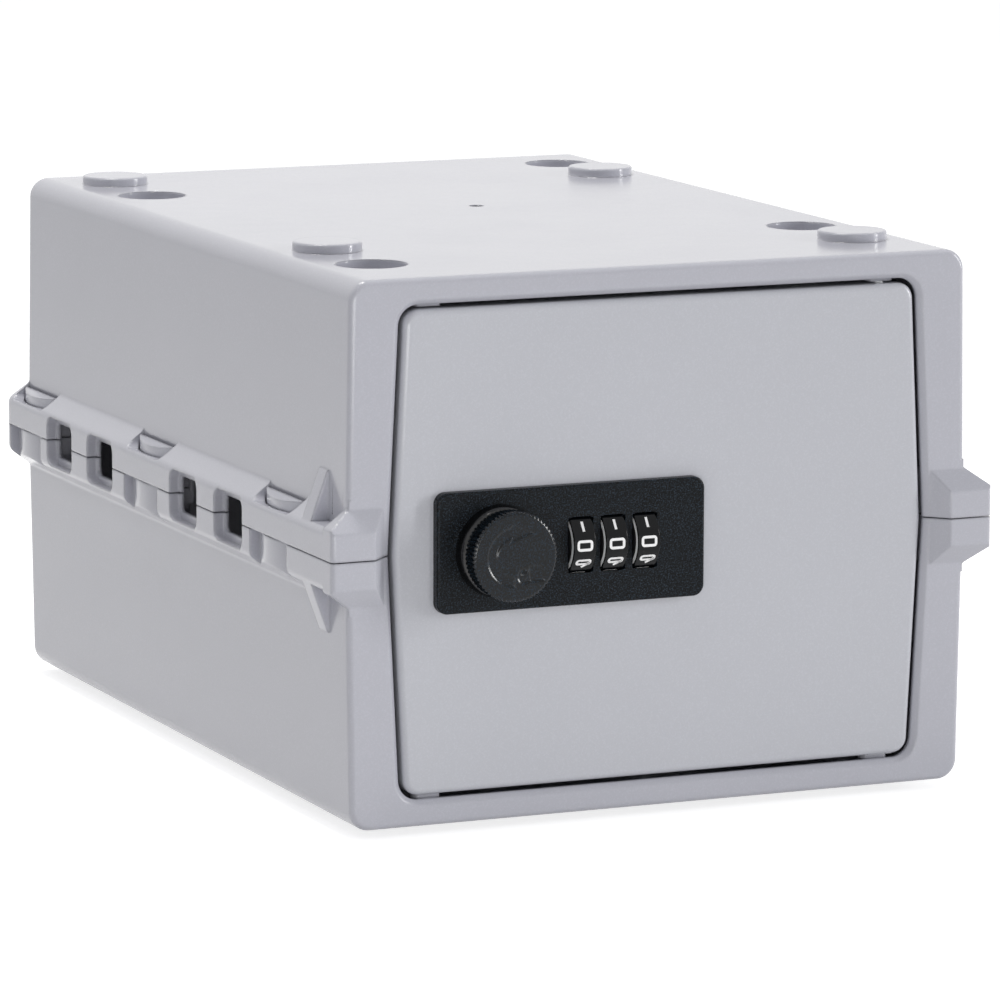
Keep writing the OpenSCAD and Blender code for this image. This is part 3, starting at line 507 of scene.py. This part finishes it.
def ribbon(name, line, width, height, closed, place):
    """A raised line: the centre line is moved sideways by half the width along its own normal to
    both sides, sloped up over a small shoulder to the height, and the flat underside closes it.
    place turns (across, up, height) into a point of the room."""
    line = np.asarray(line, float)
    ahead = (np.roll(line, -1, 0) - np.roll(line, 1, 0)) if closed else np.gradient(line, axis=0)
    ahead = ahead / np.maximum(np.linalg.norm(ahead, axis=1, keepdims=True), 1e-12)
    side = np.stack([-ahead[:, 1], ahead[:, 0]], -1)
    half = width / 2
    shoulder = min(half * 0.35, height * 0.8)
    stops = [(-half, -height), (-half, height * 0.35), (-half + shoulder, height),
             (half - shoulder, height), (half, height * 0.35), (half, -height)]
    rows = []
    for offset, lift in stops:
        flat = line + side * offset
        rows.append(np.concatenate([flat, np.full((len(line), 1), lift)], 1))
    rings = place(np.stack(rows, 1))
    if not closed:
        return tube_mesh(name, rings)
    n, m, _ = rings.shape
    points = rings.reshape(-1, 3)
    return closed_mesh(name, points, outward(points, grid_faces(n, m, True, True)))


# The box and the lock's solids

# Each row: the body, a slot name, the finish, and the body's nodes that wear the finish
SOLIDS = [
    ("case", "shell_grey", SHELL, ["upper_shell", "lower_shell"]),
    ("case", "zinc_steel", STEEL, ["hinge_pin_upper", "hinge_pin_lower"]),
    ("front_door", "door_grey", DOOR, ["door"]),
    ("front_door", "plate_black", PLATE, ["lock_plate"]),
    ("front_door", "housing_black", HOUSING, ["lock_housing"]),
    ("front_door", "zinc_steel", STEEL, ["lock_screw_left", "lock_screw_right"]),
    ("turn_knob", "zinc_steel", STEEL, ["spindle", "latch", "latch_washer", "latch_nut"]),
    ("wheel_1", "wheel_black", WHEEL, ["dial_1"]),
    ("wheel_2", "wheel_black", WHEEL, ["dial_2"]),
    ("wheel_3", "wheel_black", WHEEL, ["dial_3"]),
    ("wheel_1", "core_pale", CORE, ["dial_core_1"]),
    ("wheel_2", "core_pale", CORE, ["dial_core_2"]),
    ("wheel_3", "core_pale", CORE, ["dial_core_3"]),
    ("front_door", "zinc_steel", STEEL, ["dial_axle"]),
    ("front_door", "spring_steel", SPRING, ["detent_spring"]),
    ("bar", "zinc_steel", STEEL, ["lock_bar"]),
    ("front_door", "spring_steel", SPRING, ["bar_spring"]),
    ("reset", "zinc_steel", STEEL, ["reset_screw"]),
]
for body, slot, finish, nodes in SOLIDS:
    for node in nodes:
        solid_skin(node, body, finish)


# Figures on the wheels

# Width and height of a figure's centre lines, its line, its shift up, and its rise, in millimetres
FIGURE_W, FIGURE_H, FIGURE_LINE, FIGURE_LIFT, FIGURE_RISE = 4.45, 2.65, 0.85, 0.3, 0.04
# Distance of a wheel's flats from its axis
FLAT_REACH = 9.75 * MM


def figure_lines(value):
    """The centre lines of a figure, in millimetres about its middle, each with whether it closes:
    straight runs and arcs."""
    w, h = FIGURE_W / 2, FIGURE_H / 2
    frame_corners = [(-w, -h), (w, -h), (w, h), (-w, h)]
    if value == 0:
        return [(rounded_line(frame_corners, 0.75, True), True)]
    if value == 1:
        return [(np.array([(0, h + 0.4), (0, 0), (0, -h - 0.4)]), False)]
    if value == 2:
        bends = [(-w, h * 0.45), (-w, h), (w, h), (w, h * 0.1), (-w, -h * 0.55), (-w, -h), (w, -h)]
        return [(rounded_line(bends, 0.9), False)]
    if value == 3:
        bends = [(-w, h), (w, h), (w, 0), (w, -h), (-w, -h)]
        middle_bar = np.array([(-w * 0.3, 0), (0, 0), (w, 0)])
        return [(rounded_line(bends, 0.9), False), (middle_bar, False)]
    if value == 4:
        bends = [(w * 0.5, -h), (w * 0.5, h), (-w, -h * 0.35), (w, -h * 0.35)]
        return [(rounded_line(bends, 0.15), False)]
    if value == 5:
        bends = [(w, h), (-w, h), (-w, h * 0.15), (w, h * 0.15), (w, -h), (-w, -h)]
        return [(rounded_line(bends, 0.7), False)]
    if value == 7:
        return [(rounded_line([(-w, h), (w, h), (-w * 0.2, -h)], 0.3), False)]
    if value == 8:
        bar = np.array([(-w, 0), (0, 0), (w, 0)])
        return [(rounded_line(frame_corners, 0.9, True), True), (bar, False)]
    turn = -1 if value == 9 else 1
    corners = [(-w, -h), (w, -h), (w, h * 0.2), (-w, h * 0.2)]
    loop = rounded_line(corners, 0.9, True) * turn
    tail = np.array([(-w * 0.98, -h * 0.3), (-w * 0.5, h * 0.4), (w * 0.15, h * 1.15)]) * turn
    return [(loop, True), (tail, False)]


def wheel_figures(index):
    """The ten figures of a wheel: each lies on its own flat, at a turn of 36 degrees times its
    value about the wheel's axis, and stands a few hundredths of a millimetre proud."""
    low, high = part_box(f"dial_{index}")
    middle = (low + high) / 2
    axis = Vector(JOINT[f"wheel_{index}_turn"]["pos_m"])
    parts = []
    for value in range(10):
        a = value * TAU / 10
        out = np.array([0, -math.cos(a), math.sin(a)])
        up = np.array([0, math.sin(a), math.cos(a)])
        base = np.array([middle.x, axis.y, axis.z]) + out * FLAT_REACH

        def place(q):
            across = q[..., :1] * MM * np.array([1.0, 0, 0])
            return base + across + (q[..., 1:2] + FIGURE_LIFT) * MM * up + q[..., 2:] * MM * out

        for line, closed in figure_lines(value):
            parts.append(ribbon("figure", line, FIGURE_LINE, FIGURE_RISE, closed, place))
    mesh = join_meshes(f"wheel_{index}_figures", parts)
    shown(f"wheel_{index}_figures", mesh, f"wheel_{index}", INK)


for index in (1, 2, 3):
    wheel_figures(index)


# Knob and collar

# Ridges of the grip and how deep the valleys between them are, in millimetres
GRIP_RIDGES, GRIP_DEPTH = 60, 0.5
# Depth of the signs and the width of the slope at their edge, in millimetres
SIGN_DEPTH, SIGN_SLOPE = 0.32, 0.7


def sign_outlines():
    """The outlines of the two signs sunk into the knob's face, in millimetres about its middle:
    an arrow bent round the middle, and an open padlock lying on its side whose shackle is a band
    between two loops."""
    t = np.radians(np.linspace(-92, -258, 48))
    outer = 9.15 * np.stack([np.cos(t), np.sin(t)], -1)
    inner = 6.1 * np.stack([np.cos(t[::-1]), np.sin(t[::-1])], -1)
    head = np.array([(-1.0, 9.9), (5.5, 7.4), (-1.5, 4.7)])
    arrow = np.concatenate([outer, head, inner])
    body = rounded_line([(4.5, -2.9), (9.0, -3.2), (9.4, -7.7), (4.8, -7.9)], 0.5, True, 6)
    s = np.radians(np.linspace(62, 322, 30))
    far = np.stack([3.0 + 2.25 * np.cos(s), -6.0 + 2.35 * np.sin(s)], -1)
    near = np.stack([3.1 + 1.05 * np.cos(s[::-1]), -5.9 + 1.15 * np.sin(s[::-1])], -1)
    return [arrow, body, np.concatenate([far, near])]


def depth_inside(points, outline):
    """How far each point lies inside an outline, negative outside: the least distance to its
    straight runs, with the side from the count of runs that a level line crosses."""
    a, b = outline, np.roll(outline, -1, 0)
    run = b - a
    off = points[:, None, :] - a[None]
    along = np.clip((off * run).sum(-1) / np.maximum((run ** 2).sum(-1), 1e-12), 0, 1)
    near = np.linalg.norm(off - along[..., None] * run, axis=-1).min(1)
    level = points[:, None, 1]
    between = (a[None, :, 1] > level) != (b[None, :, 1] > level)
    rise = np.where(np.abs(run[:, 1]) < 1e-12, 1e-12, run[:, 1])
    cross = a[None, :, 0] + (level - a[None, :, 1]) / rise * run[:, 0]
    inside = (between & (points[:, None, 0] < cross)).sum(1) % 2 == 1
    return np.where(inside, near, -near)


def knob_grip():
    """The knob: a profile turned round its axis, whose radius drops by a rounded V between the
    ridges of the grip. The ridges fade out over the rim's bevel, and the face sinks down an even
    slope wherever a point lies inside the outline of a sign. Each station is a radius, a depth and
    the share of the ridges there."""
    face, back = KNOB_FACE / MM, knob_high.y / MM
    grip_back = face + 7.5
    r = KNOB_R / MM
    stations = [
        (3.95, back, 0), (8.9, back, 0), (9.0, back - 0.15, 0), (9.0, grip_back + 0.2, 0),
        (9.3, grip_back, 0), (13.1, grip_back, 0), (13.45, grip_back - 0.15, 0.4),
        (r - 0.22, grip_back - 0.55, 1), (r - 0.12, grip_back - 2.5, 1), (r - 0.05, face + 2.2, 1),
        (r, face + 0.9, 1), (r - 0.03, face + 0.6, 1), (r - 0.12, face + 0.40, 0.9),
        (r - 0.3, face + 0.3, 0.6), (r - 0.5, face + 0.21, 0.35), (r - 0.7, face + 0.12, 0.15),
        (r - 0.88, face + 0.035, 0.03), (r - 0.97, face, 0),
    ]
    table = np.array(stations)
    inward = np.linspace(r - 1.05, 0.12, 108)
    table = np.concatenate([table, np.stack([inward, inward * 0 + face, inward * 0], -1)])
    mask = table[:, 2]

    def ripple(angle, station):
        wave = np.abs(np.sin(angle * GRIP_RIDGES / 2))
        return -GRIP_DEPTH * MM * mask[station] * (1 - wave ** 0.75)

    rings = spun(table[:, :2] * MM, GRIP_RIDGES * 8, ripple)
    flat = rings[len(stations):]
    spots = np.stack([flat[..., 0] - KNOB_X, flat[..., 2] - MID_Z], -1).reshape(-1, 2) / MM
    inside = np.max([depth_inside(spots, line) for line in sign_outlines()], axis=0)
    step = np.clip((inside + SIGN_SLOPE / 2) / SIGN_SLOPE, 0, 1)
    sunk = SIGN_DEPTH * MM * step
    flat[..., 1] += sunk.reshape(flat.shape[:2])
    piece = shown("knob_grip", tube_mesh("knob_grip", rings), "turn_knob", KNOB)
    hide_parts("knob")


def bell_collar():
    """The smooth collar: a quarter ellipse turned round the knob's axis, upright where it meets the
    plate and level at its front rim, with a straight bore."""
    back = collar_high.y / MM
    front = collar_low.y / MM
    turn = np.linspace(0, math.pi / 2, 26)
    r = 12.7 + 1.8 * np.cos(turn)
    depth = back - 0.25 - (back - 0.25 - front) * np.sin(turn)
    bell = np.stack([r, depth], -1)
    rim = np.array([(12.3, front), (9.35, front), (9.3, front + 0.05), (9.3, back - 0.05)])
    table = np.concatenate([np.array([(9.35, back), (14.4, back), (14.5, back - 0.1)]), bell, rim])
    rings = spun(table * MM, 160)
    n, m, _ = rings.shape
    points = rings.reshape(-1, 3)
    mesh = closed_mesh("bell_collar", points, outward(points, grid_faces(n, m, True, True)))
    piece = shown("bell_collar", mesh, "front_door", COLLAR)
    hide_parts("knob_collar")


knob_grip()
bell_collar()


# Studio

bpy.context.scene.view_settings.view_transform = "Standard"
place_camera()
light_room()
lay_floor()
